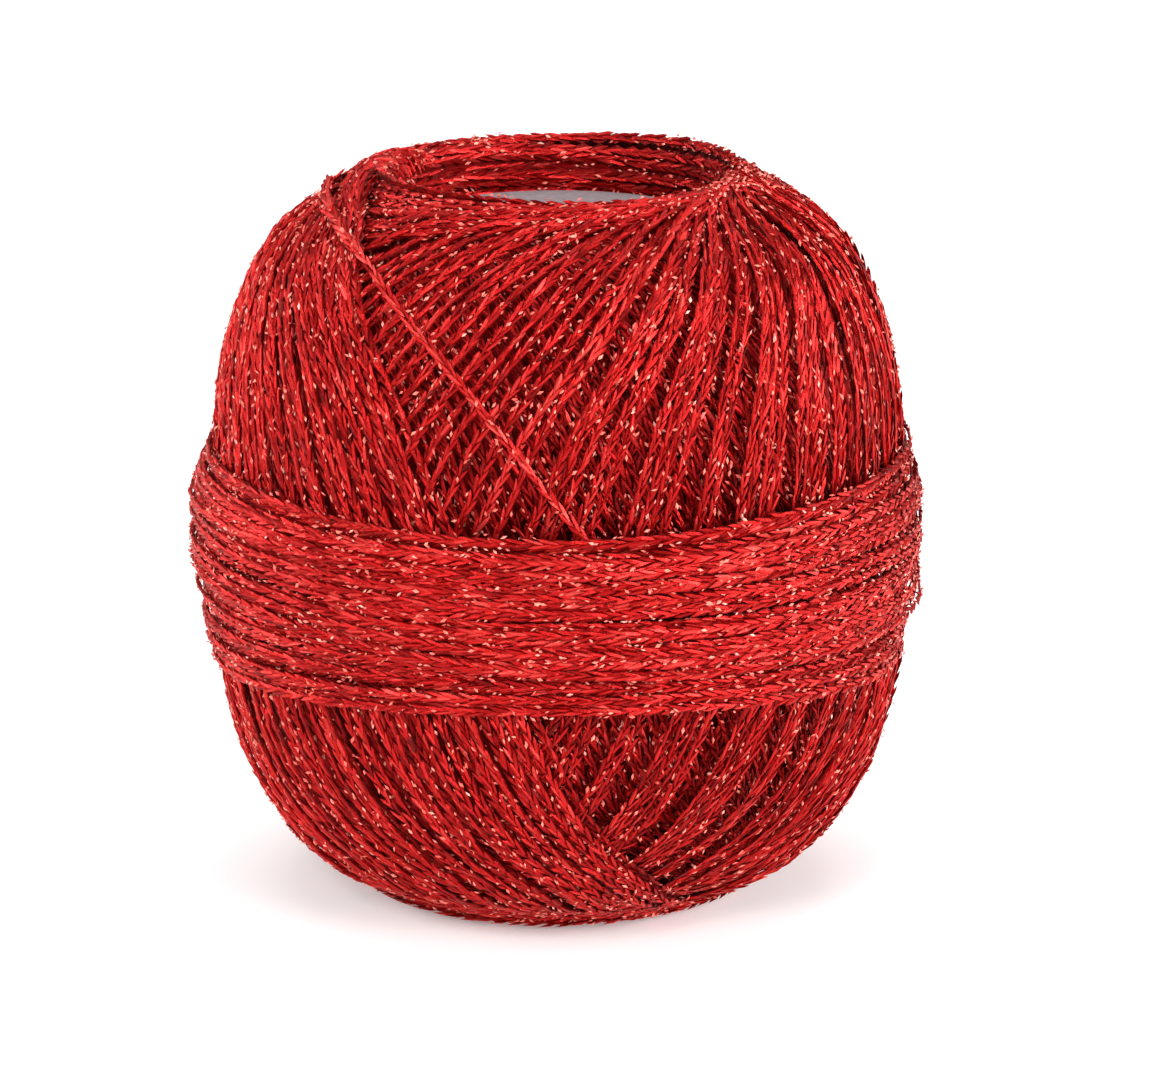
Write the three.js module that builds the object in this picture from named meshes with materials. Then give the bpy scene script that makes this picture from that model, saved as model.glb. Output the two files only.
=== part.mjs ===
// Ball of metallic crochet yarn, standing on the rim of its hollow, with the card disc that closes the top.
// Millimetres. The origin is under the middle of the ball, +Z runs up the hollow and -Y is the front.
import * as THREE from 'three';

// Driving sizes of the ball
const HEIGHT = 59.1; // rest ring to the top of the rim
const BELT_RISE = 1.85; // how far the belt of last turns stands off the body
const BORE_RADIUS = 10.5; // hollow left by the winding mandrel
const RECESS_RADIUS = 12.9; // mouth of the hollow, where the card sits
const COLUMNS = 138; // steps around the ball

// Driving sizes of the card disc
const CARD_RADIUS = 12.55;
const CARD_THICKNESS = 1;
const CARD_DISH = 0.35; // how far its middle is pressed in
const CARD_TOP = 54.6; // top of its edge
const SEAT_GAP = 0.3; // clearance to the ledge under it

// Last turns pull together at one place on the top rim at each side, in degrees from the front
const RIGHT_MEETING = 75;
const LEFT_MEETING = RIGHT_MEETING - 180;
const FRONT_EDGE = -12; // where the left fan of turns ends over the right one, at mid height
const TWIST_PITCH = 15; // degrees between main twists at mid height
const TWIST_DEPTH = 1.05; // furrow between two twists
const EDGE_STEP = 1.2; // the covered fan lies this much lower at the edge
const EDGE_FADE = 55; // degrees over which the covered fan comes back up
const BELT_TWISTS = 5; // bundles of turns across the belt
const BELT_FURROW = 0.4;

// Outer outline of the body from the rest ring up to the rim
const OUTLINE = [
  { radius: 15.2, height: 0 },
  { radius: 16.5, height: 0.44 },
  { radius: 17.9, height: 1.48 },
  { radius: 21.3, height: 3.55 },
  { radius: 23.7, height: 6.5 },
  { radius: 26.1, height: 11.2 },
  { radius: 27.6, height: 17.7 },
  { radius: 28.0, height: 29.5 },
  { radius: 27.7, height: 41.4 },
  { radius: 26.1, height: 47.9 },
  { radius: 23.8, height: 52.6 },
  { radius: 21.0, height: 55.5 },
  { radius: 17.6, height: 57.6 },
  { radius: 15.8, height: 58.7 },
  { radius: 14.9, height: HEIGHT },
];

// Share of the way to the meeting place that a turn has gone, by depth below the rim
const GATHER = [
  { depth: 0, share: 0.86 },
  { depth: 0.5, share: 0.64 },
  { depth: 1.7, share: 0.52 },
  { depth: 3.1, share: 0.43 },
  { depth: 5.1, share: 0.35 },
  { depth: 9.1, share: 0.26 },
  { depth: 15.1, share: 0.16 },
  { depth: 23.1, share: 0.075 },
  { depth: 29.6, share: 0 },
];

// Degrees that a turn has swung round on its way to the lower rim, by height
const SWING = [
  { height: 0, degrees: 70 },
  { height: 1, degrees: 52 },
  { height: 3, degrees: 38 },
  { height: 6, degrees: 29 },
  { height: 9, degrees: 21 },
  { height: 13, degrees: 15 },
  { height: 17, degrees: 10.5 },
  { height: 21.5, degrees: 6.5 },
  { height: 29.5, degrees: 0 },
];

// Groups of turns in the belt: middle height and half width at the front, right, back and left
const BELT_GROUPS = [
  { rise: 1, middle: [28.2, 28.6, 28.2, 28.9], half: [5.4, 5.2, 5.4, 3.9] },
  { rise: 0.68, middle: [33.0, 34.7, 33.3, 34.2], half: [2.4, 2.4, 2.4, 2.5] },
  { rise: 0.62, middle: [23.5, 21.6, 23.2, 23.0], half: [2.3, 2.5, 2.4, 3.9] },
];

// Lumps where the turns fold over the rim at the two meeting places
const RIM_LUMPS = [
  { angle: -85, height: 56.9, rise: 0.9, width: 2.8 },
  { angle: -96, height: 58.2, rise: 1.1, width: 2.6 },
  { angle: -108, height: 58.8, rise: 1.0, width: 2.5 },
  { angle: -120, height: 59.0, rise: 0.65, width: 2.4 },
  { angle: 62, height: 58.2, rise: 0.35, width: 3.0 },
  { angle: 76, height: 58.6, rise: 0.5, width: 3.0 },
];

const radians = THREE.MathUtils.degToRad;

// Value read off a short table of rows, straight between the rows
function readTable(rows, key, value, at) {
  const last = rows.length - 1;
  if (at <= rows[0][key]) return rows[0][value];
  for (let i = 1; i <= last; i += 1) {
    if (at <= rows[i][key]) {
      const span = rows[i][key] - rows[i - 1][key];
      return THREE.MathUtils.lerp(rows[i - 1][value], rows[i][value], (at - rows[i - 1][key]) / span);
    }
  }
  return rows[last][value];
}

// Smooth value around the ball from its values at the front, right, back and left
function around([front, right, back, left], angle) {
  const turn = radians(angle);
  const mean = (front + right + back + left) / 4;
  const waist = (front + back - right - left) / 4;
  return mean + ((front - back) / 2) * Math.cos(turn)
    + ((right - left) / 2) * Math.sin(turn) + waist * Math.cos(2 * turn);
}

// Smooth outline through the rows, as a curve of radius against height
const outlineCurve = new THREE.CatmullRomCurve3(
  OUTLINE.map(({ radius, height }) => new THREE.Vector3(radius, 0, height)), false, 'centripetal');
const outlinePoints = outlineCurve.getSpacedPoints(400);

function outlineAt(height) {
  let low = 0;
  let high = outlinePoints.length - 1;
  while (high - low > 1) {
    const middle = (low + high) >> 1;
    if (outlinePoints[middle].z <= height) low = middle;
    else high = middle;
  }
  const a = outlinePoints[low];
  const b = outlinePoints[high];
  const part = THREE.MathUtils.clamp((height - a.z) / Math.max(b.z - a.z, 1e-6), 0, 1);
  const normal = new THREE.Vector2(b.z - a.z, a.x - b.x).normalize();
  return { radius: THREE.MathUtils.lerp(a.x, b.x, part), normal };
}

// Main twists: the turns of a fan lie in bundles with a furrow between each two
function furrow(fanAngle) {
  const wave = 0.5 - 0.5 * Math.cos((2 * Math.PI * fanAngle) / TWIST_PITCH);
  return -TWIST_DEPTH * (1 - wave) ** 2;
}

// Height of the two fans of turns at a place on the body. Half a turn on, the fans change roles.
// The furrows grow shallow where the turns crowd together at the top.
function fanRelief(angle, height) {
  const folded = THREE.MathUtils.euclideanModulo(angle + 90, 180) - 90;
  const upper = height > HEIGHT / 2;
  const share = upper ? readTable(GATHER, 'depth', 'share', HEIGHT - height) : 0;
  const swing = upper ? 0 : readTable(SWING, 'height', 'degrees', height);
  const overAngle = upper ? (folded - LEFT_MEETING * share) / (1 - share) : folded - swing;
  const underAngle = upper ? (folded - RIGHT_MEETING * share) / (1 - share) : folded + swing;
  const seamFade = upper ? 1 : THREE.MathUtils.smoothstep(90 - Math.abs(folded), 0, 30);
  const rimFade = THREE.MathUtils.smoothstep(HEIGHT - height, 0.5, 5)
    * THREE.MathUtils.smoothstep(height, 0.4, 3);
  const crowding = 1 - share;
  const over = furrow(overAngle - FRONT_EDGE) * 0.6 * seamFade * crowding;
  const sunk = EDGE_STEP * (1 - THREE.MathUtils.smoothstep(underAngle - FRONT_EDGE, 0, EDGE_FADE));
  const under = furrow(underAngle) * seamFade * crowding - sunk;
  const covered = THREE.MathUtils.smoothstep(FRONT_EDGE + 1.2 - overAngle, 0, 2.4);
  return rimFade * THREE.MathUtils.lerp(under, over, covered);
}

// Belt: each group of turns is a low rounded ridge round the ball, and the highest one shows
function beltGroup(group, angle, height) {
  const middle = around(group.middle, angle);
  const half = around(group.half, angle);
  const across = Math.min(Math.abs(height - middle) / half, 1);
  return BELT_RISE * group.rise * (1 - across ** 6);
}

function beltEdges(angle) {
  const tops = BELT_GROUPS.map((group) => around(group.middle, angle) + around(group.half, angle));
  const bottoms = BELT_GROUPS.map((group) => around(group.middle, angle) - around(group.half, angle));
  return { top: Math.max(...tops), bottom: Math.min(...bottoms) };
}

function beltRise(angle, height) {
  const { top, bottom } = beltEdges(angle);
  const share = (height - bottom) / (top - bottom);
  const wave = 0.5 + 0.5 * Math.cos(2 * Math.PI * share * BELT_TWISTS);
  const rise = Math.max(0, ...BELT_GROUPS.map((group) => beltGroup(group, angle, height)));
  return Math.max(0, rise - BELT_FURROW * wave);
}

function rimLumps(angle, height) {
  const radius = outlineAt(height).radius;
  return RIM_LUMPS.reduce((sum, lump) => {
    const turn = THREE.MathUtils.euclideanModulo(angle - lump.angle + 180, 360) - 180;
    const away = Math.hypot(radians(turn) * radius, (height - lump.height) * 1.2);
    return sum + lump.rise * Math.exp(-((away / (lump.width * 0.62)) ** 2));
  }, 0);
}

// Heights of the outer rows at one angle: they follow the belt's edges, so that its steps stay crisp
const ABOVE_BELT = [0, 0.15, 0.32, 0.48, 0.62, 0.74, 0.83, 0.9, 0.945, 0.98, 1];
const ACROSS_BELT = [0, 0.03, 0.1, 0.2, 0.3, 0.4, 0.5, 0.6, 0.7, 0.8, 0.9, 0.97, 1];
const BELOW_BELT = [0, 0.023, 0.07, 0.12, 0.19, 0.27, 0.38, 0.5, 0.64, 0.82, 1];

function outerHeights(angle) {
  const { top, bottom } = beltEdges(angle);
  return [
    ...BELOW_BELT.map((share) => share * bottom),
    ...ACROSS_BELT.slice(1, -1).map((share) => THREE.MathUtils.lerp(bottom, top, share)),
    ...ABOVE_BELT.map((share) => THREE.MathUtils.lerp(top, HEIGHT, share)),
  ];
}

function outerPoint(angle, height) {
  const { radius, normal } = outlineAt(height);
  const { top, bottom } = beltEdges(angle);
  const inBelt = height > bottom + 0.01 && height < top - 0.01;
  const relief = inBelt ? beltRise(angle, height) : fanRelief(angle, height);
  const offset = relief + rimLumps(angle, height);
  return { radius: radius + normal.x * offset, height: height + normal.y * offset };
}

// Hollow from the rim down: two tiers of turns, the ledge for the card, the bore and its lower mouth
const LEDGE = CARD_TOP - CARD_THICKNESS - SEAT_GAP;
const HOLLOW = [
  { radius: 13.7, height: HEIGHT - 0.35 },
  { radius: 12.95, height: HEIGHT - 1.3 },
  { radius: 13.35, height: HEIGHT - 2.2 },
  { radius: RECESS_RADIUS, height: HEIGHT - 3.1 },
  { radius: RECESS_RADIUS, height: LEDGE },
  { radius: BORE_RADIUS, height: LEDGE },
  { radius: BORE_RADIUS, height: HEIGHT / 2 },
  { radius: BORE_RADIUS, height: 3.2 },
  { radius: 11.2, height: 0.9 },
  { radius: 12.8, height: 0 },
];

function place({ radius, height }, angle) {
  const turn = radians(angle);
  return new THREE.Vector3(radius * Math.sin(turn), -radius * Math.cos(turn), height);
}

// Closed ring of quads: each column is one section loop of the ball at its angle
function ballGeometry() {
  const positions = [];
  let rows = 0;
  for (let column = 0; column < COLUMNS; column += 1) {
    const angle = (360 * column) / COLUMNS;
    const outer = outerHeights(angle).map((height) => outerPoint(angle, height));
    const loop = [...outer, ...HOLLOW];
    rows = loop.length;
    loop.forEach((point) => positions.push(...place(point, angle).toArray()));
  }
  const indices = [];
  for (let column = 0; column < COLUMNS; column += 1) {
    const here = column * rows;
    const next = ((column + 1) % COLUMNS) * rows;
    for (let row = 0; row < rows; row += 1) {
      const above = (row + 1) % rows;
      indices.push(here + row, next + row, next + above);
      indices.push(here + row, next + above, here + above);
    }
  }
  const geometry = new THREE.BufferGeometry();
  geometry.setAttribute('position', new THREE.Float32BufferAttribute(positions, 3));
  geometry.setIndex(indices);
  geometry.computeVertexNormals();
  return geometry;
}

// Plain disc of card, pressed in a little at its middle
function cardGeometry() {
  const dish = (radius) => -CARD_DISH * (1 - (radius / CARD_RADIUS) ** 2);
  const radii = [0, 3.2, 6.4, 9.5, CARD_RADIUS - 0.15];
  const top = radii.map((radius) => new THREE.Vector2(radius, CARD_THICKNESS + dish(radius)));
  const profile = [
    new THREE.Vector2(0, 0),
    new THREE.Vector2(CARD_RADIUS - 0.15, 0),
    new THREE.Vector2(CARD_RADIUS, 0.15),
    new THREE.Vector2(CARD_RADIUS, CARD_THICKNESS - 0.15),
    ...top.reverse(),
  ];
  const geometry = new THREE.LatheGeometry(profile, 72);
  geometry.rotateX(Math.PI / 2);
  return geometry;
}

const yarn = new THREE.MeshStandardMaterial({ color: 0x9b1e1f, roughness: 0.42, metalness: 0.35 });
const card = new THREE.MeshStandardMaterial({ color: 0x8a7578, roughness: 0.8, metalness: 0 });

const ball = new THREE.Mesh(ballGeometry(), yarn);
ball.name = 'wound_ball';

const disc = new THREE.Mesh(cardGeometry(), card);
disc.name = 'card_disc';
disc.position.z = LEDGE + SEAT_GAP;

const group = new THREE.Group();
group.add(ball, disc);

export default group;
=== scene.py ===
"""Ball of red metallic crochet yarn with a plain card disc in the top of its hollow.

The yarn is a knitted chain. It is laid along every turn that shows: the fans of turns that gather at
two places on the top rim, the turns under them, the belt of last turns, the rim and the hollow.
Sizes are in millimetres and angles in degrees from the front, until a mesh is made in metres.
"""

from __future__ import annotations

import logging
import math
from dataclasses import dataclass, field, fields
from enum import Enum
from typing import Sequence

import bpy
import numpy as np
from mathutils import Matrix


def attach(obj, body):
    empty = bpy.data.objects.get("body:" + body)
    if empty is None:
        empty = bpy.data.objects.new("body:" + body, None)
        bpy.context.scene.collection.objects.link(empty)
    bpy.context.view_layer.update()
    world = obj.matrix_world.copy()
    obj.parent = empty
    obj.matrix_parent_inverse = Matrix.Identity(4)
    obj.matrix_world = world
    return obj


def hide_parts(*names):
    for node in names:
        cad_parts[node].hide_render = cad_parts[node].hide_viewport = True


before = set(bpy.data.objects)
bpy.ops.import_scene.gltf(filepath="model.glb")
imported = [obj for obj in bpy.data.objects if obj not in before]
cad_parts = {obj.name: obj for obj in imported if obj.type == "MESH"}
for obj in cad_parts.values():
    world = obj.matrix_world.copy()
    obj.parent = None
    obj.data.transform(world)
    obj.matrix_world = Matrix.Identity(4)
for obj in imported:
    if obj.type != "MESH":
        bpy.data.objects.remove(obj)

LOG = logging.getLogger("yarn_ball")
MM = 0.001
BODY = "root"

SEED = 25

# Sizes shared with the solid of the ball
HEIGHT = 59.1
STRAND = 1.1
MIDDLE = 29.5

# Steps between the rows of a table that is read as a smooth curve
CURVE_STEPS = 16
# Upper limit of a chance phase, in radians
ANY_PHASE = 6.3

# Painted light and shade on the yarn: how much more the top of a strand counts than its borders, and where
# across a leg, as a share of its half width, the painted darker borders give way to a painted lighter ridge
TOP_LIGHT_SHARE = 1.2
LEG_RIDGE_LIGHT = 0.4
# Distance between the grains of two neighbouring legs in the material's own coordinates
GRAIN_SHIFT = 7.3

Pair = tuple[float, float]
Three = tuple[float, float, float]
Four = tuple[float, float, float, float]

# Outline of the ball from inside the top rim, over it, down the side and into the lower mouth:
# radius and height
SECTION = (
    (13.00, 57.00),
    (13.30, 58.20),
    (13.95, 58.90),
    (14.90, 59.10),
    (15.80, 58.70),
    (17.60, 57.60),
    (21.00, 55.50),
    (23.80, 52.60),
    (26.10, 47.90),
    (27.70, 41.40),
    (28.00, 29.50),
    (27.60, 17.70),
    (26.10, 11.20),
    (23.70, 6.50),
    (21.30, 3.55),
    (17.90, 1.48),
    (16.50, 0.44),
    (15.20, 0.00),
    (13.60, 0.05),
    (12.40, 0.90),
    (11.80, 2.40),
)
CREST_ROW = 3
REST_ROW = 17
LOWER_RIM_ROW = 18

# Share of the way to the meeting place that a turn has gone, by distance down the side from the rim.
# The second column is for a turn that starts near its meeting place, the third for one that starts far off.
GATHER = (
    (-3.0, 1.00, 1.04),
    (0.0, 0.93, 0.90),
    (0.5, 0.78, 0.70),
    (1.0, 0.67, 0.55),
    (2.0, 0.59, 0.38),
    (3.1, 0.53, 0.30),
    (5.2, 0.46, 0.25),
    (9.2, 0.36, 0.19),
    (13.9, 0.27, 0.155),
    (20.5, 0.16, 0.11),
    (28.5, 0.075, 0.06),
    (34.9, 0.0, 0.0),
)

# Degrees that a turn has swung round below the middle, by distance from the lower rim
SWING = (
    (-2.5, 96.0),
    (0.0, 80.0),
    (1.2, 70.0),
    (2.6, 60.0),
    (4.3, 49.0),
    (7.2, 38.5),
    (11.5, 29.0),
    (14.9, 21.5),
    (19.3, 15.0),
    (23.4, 10.5),
    (27.9, 6.5),
    (35.9, 0.0),
)


class Detail(Enum):
    """How finely the legs of a stitch are modelled."""

    FINE = "fine"
    PLAIN = "plain"


class LayerKind(Enum):
    """Place of a layer in the winding."""

    COVERING = "covering"
    COVERED = "covered"
    UNDER = "under"
    BED = "bed"
    LOWER = "lower"


def smoothstep(value: np.ndarray | float, low: float, high: float) -> np.ndarray:
    """Smooth rise from 0 at low to 1 at high."""
    share = np.clip((np.asarray(value, dtype=float) - low) / (high - low), 0.0, 1.0)
    return share * share * (3.0 - 2.0 * share)


def smooth_line(points: np.ndarray, steps: int) -> np.ndarray:
    """Draws a smooth line through points.

    Args:
        points: One row for each point that the line passes through.
        steps: Number of steps between two neighbouring points.

    Returns:
        The line's points, a row each.
    """
    padded = np.vstack([2 * points[0] - points[1], points, 2 * points[-1] - points[-2]])
    knots = np.concatenate([[0.0], np.cumsum(np.linalg.norm(np.diff(padded, axis=0), axis=1) ** 0.5)])
    line = []
    for i in range(1, len(padded) - 2):
        a, b, c, d = knots[i - 1 : i + 3]
        t = np.linspace(b, c, steps, endpoint=False)[:, None]
        first = (b - t) / (b - a) * padded[i - 1] + (t - a) / (b - a) * padded[i]
        second = (c - t) / (c - b) * padded[i] + (t - b) / (c - b) * padded[i + 1]
        third = (d - t) / (d - c) * padded[i + 1] + (t - c) / (d - c) * padded[i + 2]
        early = (c - t) / (c - a) * first + (t - a) / (c - a) * second
        late = (d - t) / (d - b) * second + (t - b) / (d - b) * third
        line.append((c - t) / (c - b) * early + (t - b) / (c - b) * late)
    return np.vstack([*line, points[-1:]])


def read_curve(rows: Sequence[Sequence[float]], column: int, at: np.ndarray) -> np.ndarray:
    """Reads a smooth curve through a table's rows.

    Args:
        rows: The table, its first column rising.
        column: Column that holds the curve's value.
        at: Values of the first column to read at.

    Returns:
        The curve's values.
    """
    table = np.array([(row[0], row[column]) for row in rows], dtype=float)
    line = smooth_line(table, CURVE_STEPS)
    return np.interp(at, line[:, 0], line[:, 1])


def around(values: Four, angle: np.ndarray) -> np.ndarray:
    """Gives a smooth value round the ball from its values at the front, right, back and left.

    Args:
        values: The four values.
        angle: Angles in degrees.

    Returns:
        The value at each angle.
    """
    front, right, back, left = values
    turn = np.radians(angle)
    mean = (front + right + back + left) / 4
    waist = (front + back - right - left) / 4
    return (
        mean
        + (front - back) / 2 * np.cos(turn)
        + (right - left) / 2 * np.sin(turn)
        + waist * np.cos(2 * turn)
    )


@dataclass
class Section:
    """Outline of the ball in the plane of its axis, with the distance along it from the top rim."""

    steps: int = 40
    line: np.ndarray = field(init=False)
    distance: np.ndarray = field(init=False)
    normal: np.ndarray = field(init=False)

    def __post_init__(self) -> None:
        """Works out the line, its distances and its outward normals."""
        self.line = smooth_line(np.array(SECTION), self.steps)
        lengths = np.linalg.norm(np.diff(self.line, axis=0), axis=1)
        run = np.concatenate([[0.0], np.cumsum(lengths)])
        self.distance = run - run[CREST_ROW * self.steps]
        tangent = np.gradient(self.line, run, axis=0)
        tangent /= np.linalg.norm(tangent, axis=1)[:, None]
        self.normal = np.column_stack([-tangent[:, 1], tangent[:, 0]])

    def read(self, distance: np.ndarray, rise: np.ndarray | float = 0.0) -> tuple[np.ndarray, np.ndarray]:
        """Reads places on or off the outline.

        Args:
            distance: Distances along the outline from the top rim.
            rise: How far each place stands off the outline.

        Returns:
            Radius and height of each place, and its outward normal in the same two directions.
        """
        place, normal = (
            np.column_stack([np.interp(distance, self.distance, values[:, i]) for i in (0, 1)])
            for values in (self.line, self.normal)
        )
        normal /= np.linalg.norm(normal, axis=1)[:, None]
        return place + normal * np.broadcast_to(rise, distance.shape)[:, None], normal

    def distance_at(self, height: np.ndarray | float) -> np.ndarray:
        """Distance along the outer side at a height."""
        outer = slice(CREST_ROW * self.steps, REST_ROW * self.steps)
        return np.interp(height, self.line[outer, 1][::-1], self.distance[outer][::-1])

    @property
    def lower_rim(self) -> float:
        """Distance of the lower rim."""
        return float(self.distance[LOWER_RIM_ROW * self.steps])


@dataclass
class Path:
    """Line that a strand follows, with the direction that faces out of the ball."""

    points: np.ndarray
    normals: np.ndarray

    @classmethod
    def on_ball(cls, angle: np.ndarray, place: np.ndarray, normal: np.ndarray) -> Path:
        """Turns places in the section plane round the axis.

        Args:
            angle: Angle of each place.
            place: Radius and height of each place.
            normal: Outward normal of each place, in radius and height.

        Returns:
            The path.
        """
        turn = np.radians(angle)
        side, front = np.sin(turn), -np.cos(turn)
        points, normals = (
            np.column_stack([values[:, 0] * side, values[:, 0] * front, values[:, 1]])
            for values in (place, normal)
        )
        return cls(points, normals)

    @property
    def length(self) -> float:
        """Length of the line."""
        return float(np.linalg.norm(np.diff(self.points, axis=0), axis=1).sum())

    def frames(self, stations: np.ndarray) -> tuple[np.ndarray, np.ndarray, np.ndarray, np.ndarray]:
        """Gives the strand's place and directions at distances along it.

        Args:
            stations: Distances from the path's start.

        Returns:
            Points, forward directions, sideways directions and outward directions.
        """
        run = np.concatenate([[0.0], np.cumsum(np.linalg.norm(np.diff(self.points, axis=0), axis=1))])
        tangents = np.gradient(self.points, run, axis=0)
        read = [
            np.column_stack([np.interp(stations, run, values[:, i]) for i in range(3)])
            for values in (self.points, tangents, self.normals)
        ]
        points, forward, outward = read
        forward /= np.linalg.norm(forward, axis=1)[:, None]
        sideways = np.cross(outward, forward)
        sideways /= np.linalg.norm(sideways, axis=1)[:, None]
        outward = np.cross(forward, sideways)
        return points, forward, sideways, outward

    def pieces_where(self, keep: np.ndarray, shortest: float = 2.0, fewest: int = 4) -> list[Path]:
        """Splits the path into the stretches that are kept.

        Args:
            keep: True at each point that is kept.
            shortest: Stretches shorter than this are dropped.
            fewest: Stretches of fewer points than this are dropped.

        Returns:
            A path for each stretch.
        """
        changes = np.flatnonzero(np.diff(np.concatenate([[0], keep.astype(int), [0]])))
        stretches = []
        for start, end in zip(changes[::2], changes[1::2]):
            if end - start < fewest:
                continue
            stretch = Path(self.points[start:end], self.normals[start:end])
            if stretch.length > shortest:
                stretches.append(stretch)
        return stretches


@dataclass
class Shape:
    """Closed mesh that is modelled once and copied many times."""

    points: np.ndarray
    triangles: np.ndarray


@dataclass
class Placing:
    """Places, axes and tones of the copies of a shape, and the strand line that they lie along."""

    centres: np.ndarray
    axes: np.ndarray
    tones: np.ndarray
    line: np.ndarray
    sideways: np.ndarray
    outward: np.ndarray


def select_none() -> None:
    """Leaves nothing selected or active in object mode."""
    bpy.ops.object.select_all(action="DESELECT")


def taken_shape(model: bpy.types.Object) -> Shape:
    """Takes the mesh of a model as a shape, and removes the model.

    Args:
        model: The model, all of triangles.

    Returns:
        The shape.
    """
    points = np.array([vertex.co for vertex in model.data.vertices])
    triangles = np.array([polygon.vertices for polygon in model.data.polygons])
    bpy.data.objects.remove(model, do_unlink=True)
    return Shape(points, triangles)


def grain_shape(sides: int, size: Three, twist: float, blunt: float, bow: float) -> Shape:
    """Models one long grain with blunt ends: the leg of a stitch.

    Args:
        sides: Sides round the grain.
        size: Size sideways, outward and from tip to tip.
        twist: Degrees that the front half is turned against the back half.
        blunt: How far the rings are pushed towards the tips, as a share of the length.
        bow: How far the tips bend inward.

    Returns:
        The shape, its length along Z, width along X and thickness along Y.
    """
    select_none()
    width, thickness, length = size
    waist, tip = 0.05, 0.45
    bpy.ops.mesh.primitive_uv_sphere_add(segments=sides, ring_count=3, radius=0.5)
    grain = bpy.context.object
    bpy.ops.object.mode_set(mode="EDIT")
    bpy.ops.mesh.select_all(action="SELECT")
    bpy.ops.transform.resize(value=(width, thickness, length))
    bpy.ops.object.mode_set(mode="OBJECT")
    for end, turn in ((1.0, twist), (-1.0, 0.0)):
        for vertex in grain.data.vertices:
            vertex.select = waist < end * vertex.co.z / length < tip
        bpy.ops.object.mode_set(mode="EDIT")
        bpy.ops.transform.translate(value=(0.0, 0.0, end * blunt * length))
        bpy.ops.transform.rotate(value=math.radians(turn), orient_axis="Z", center_override=(0.0, 0.0, 0.0))
        bpy.ops.object.mode_set(mode="OBJECT")
    for vertex in grain.data.vertices:
        vertex.select = abs(vertex.co.z) > tip * length
    bpy.ops.object.mode_set(mode="EDIT")
    bpy.ops.transform.translate(value=(0.0, -bow, 0.0))
    bpy.ops.mesh.select_all(action="SELECT")
    bpy.ops.mesh.quads_convert_to_tris()
    bpy.ops.object.mode_set(mode="OBJECT")
    return taken_shape(grain)


def sliver_shape(width: float, thickness: float, length: float, sides: int = 4) -> Shape:
    """Models a plain sliver with two points: a leg deep in the ball, a back bar or a glint.

    Args:
        width: Size sideways.
        thickness: Size outward.
        length: Size from point to point.
        sides: Sides round the sliver.

    Returns:
        The shape, its length along Z, width along X and thickness along Y.
    """
    select_none()
    bpy.ops.mesh.primitive_cone_add(
        vertices=sides, radius1=0.5, depth=0.5, end_fill_type="NOTHING", location=(0.0, 0.0, 0.25)
    )
    sliver = bpy.context.object
    bpy.ops.object.transform_apply(location=True)
    bpy.ops.object.mode_set(mode="EDIT")
    bpy.ops.mesh.select_all(action="SELECT")
    bpy.ops.mesh.duplicate()
    bpy.ops.transform.resize(value=(1.0, 1.0, -1.0), center_override=(0.0, 0.0, 0.0))
    bpy.ops.mesh.select_all(action="SELECT")
    bpy.ops.mesh.remove_doubles(threshold=1e-4)
    bpy.ops.mesh.normals_make_consistent(inside=False)
    bpy.ops.transform.resize(value=(width, thickness, length), center_override=(0.0, 0.0, 0.0))
    bpy.ops.object.mode_set(mode="OBJECT")
    return taken_shape(sliver)


def mesh_piece(name: str, points: np.ndarray, faces: np.ndarray) -> bpy.types.Object:
    """Makes a mesh object from points in millimetres.

    Args:
        name: Name of the piece.
        points: Its points.
        faces: Its triangles.

    Returns:
        The object, at the origin.
    """
    mesh = bpy.data.meshes.new(name)
    mesh.from_pydata((points * MM).tolist(), [], faces.tolist())
    mesh.update()
    piece = bpy.data.objects.new(name, mesh)
    bpy.context.scene.collection.objects.link(piece)
    return piece


def copies_of(shape: Shape, placing: Placing, name: str, shade: float, edge: float) -> bpy.types.Object:
    """Joins the copies of a shape in one mesh with its tones, painted shade and painted light included, as an
    attribute.

    Args:
        shape: The shape that is copied.
        placing: Where its copies go.
        name: Name of the piece.
        shade: Painted shade: how much darker the borders and the underside of a strand are than its top,
            which is painted lighter.
        edge: Painted shade: how much darker the borders of a copy are than its ridge, which is painted
            lighter.

    Returns:
        The piece.
    """
    points = placing.centres[:, None, :] + np.einsum("vk,nkj->nvj", shape.points, placing.axes)
    count, per_copy = points.shape[:2]
    faces = shape.triangles[None] + (np.arange(count) * per_copy)[:, None, None]
    piece = mesh_piece(name, points.reshape(-1, 3), faces.reshape(-1, 3))
    # Painted shade and light: points to the side of the strand's line or below it are darkened, points above
    # it are lightened, and each leg is darkened towards its borders and lightened along its ridge
    from_line = points - placing.line[:, None, :]
    aside = np.einsum("nvj,nj->nv", from_line, placing.sideways) / STRAND * 2
    above = np.einsum("nvj,nj->nv", from_line, placing.outward) / STRAND * 2
    tones = placing.tones[:, None] - shade * (aside**2 - TOP_LIGHT_SHARE * above)
    tones -= edge * (np.abs(shape.points[:, 0]) / shape.points[:, 0].max() - LEG_RIDGE_LIGHT)
    tone = piece.data.attributes.new("tone", "FLOAT", "POINT")
    tone.data.foreach_set("value", np.clip(tones, 0.0, 1.0).ravel())
    local = np.broadcast_to(shape.points[None], (count, per_copy, 3)).copy()
    local[:, :, 1] += GRAIN_SHIFT * np.arange(count)[:, None]
    place = piece.data.attributes.new("leg_place", "FLOAT_VECTOR", "POINT")
    place.data.foreach_set("vector", local.ravel())
    return piece


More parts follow.
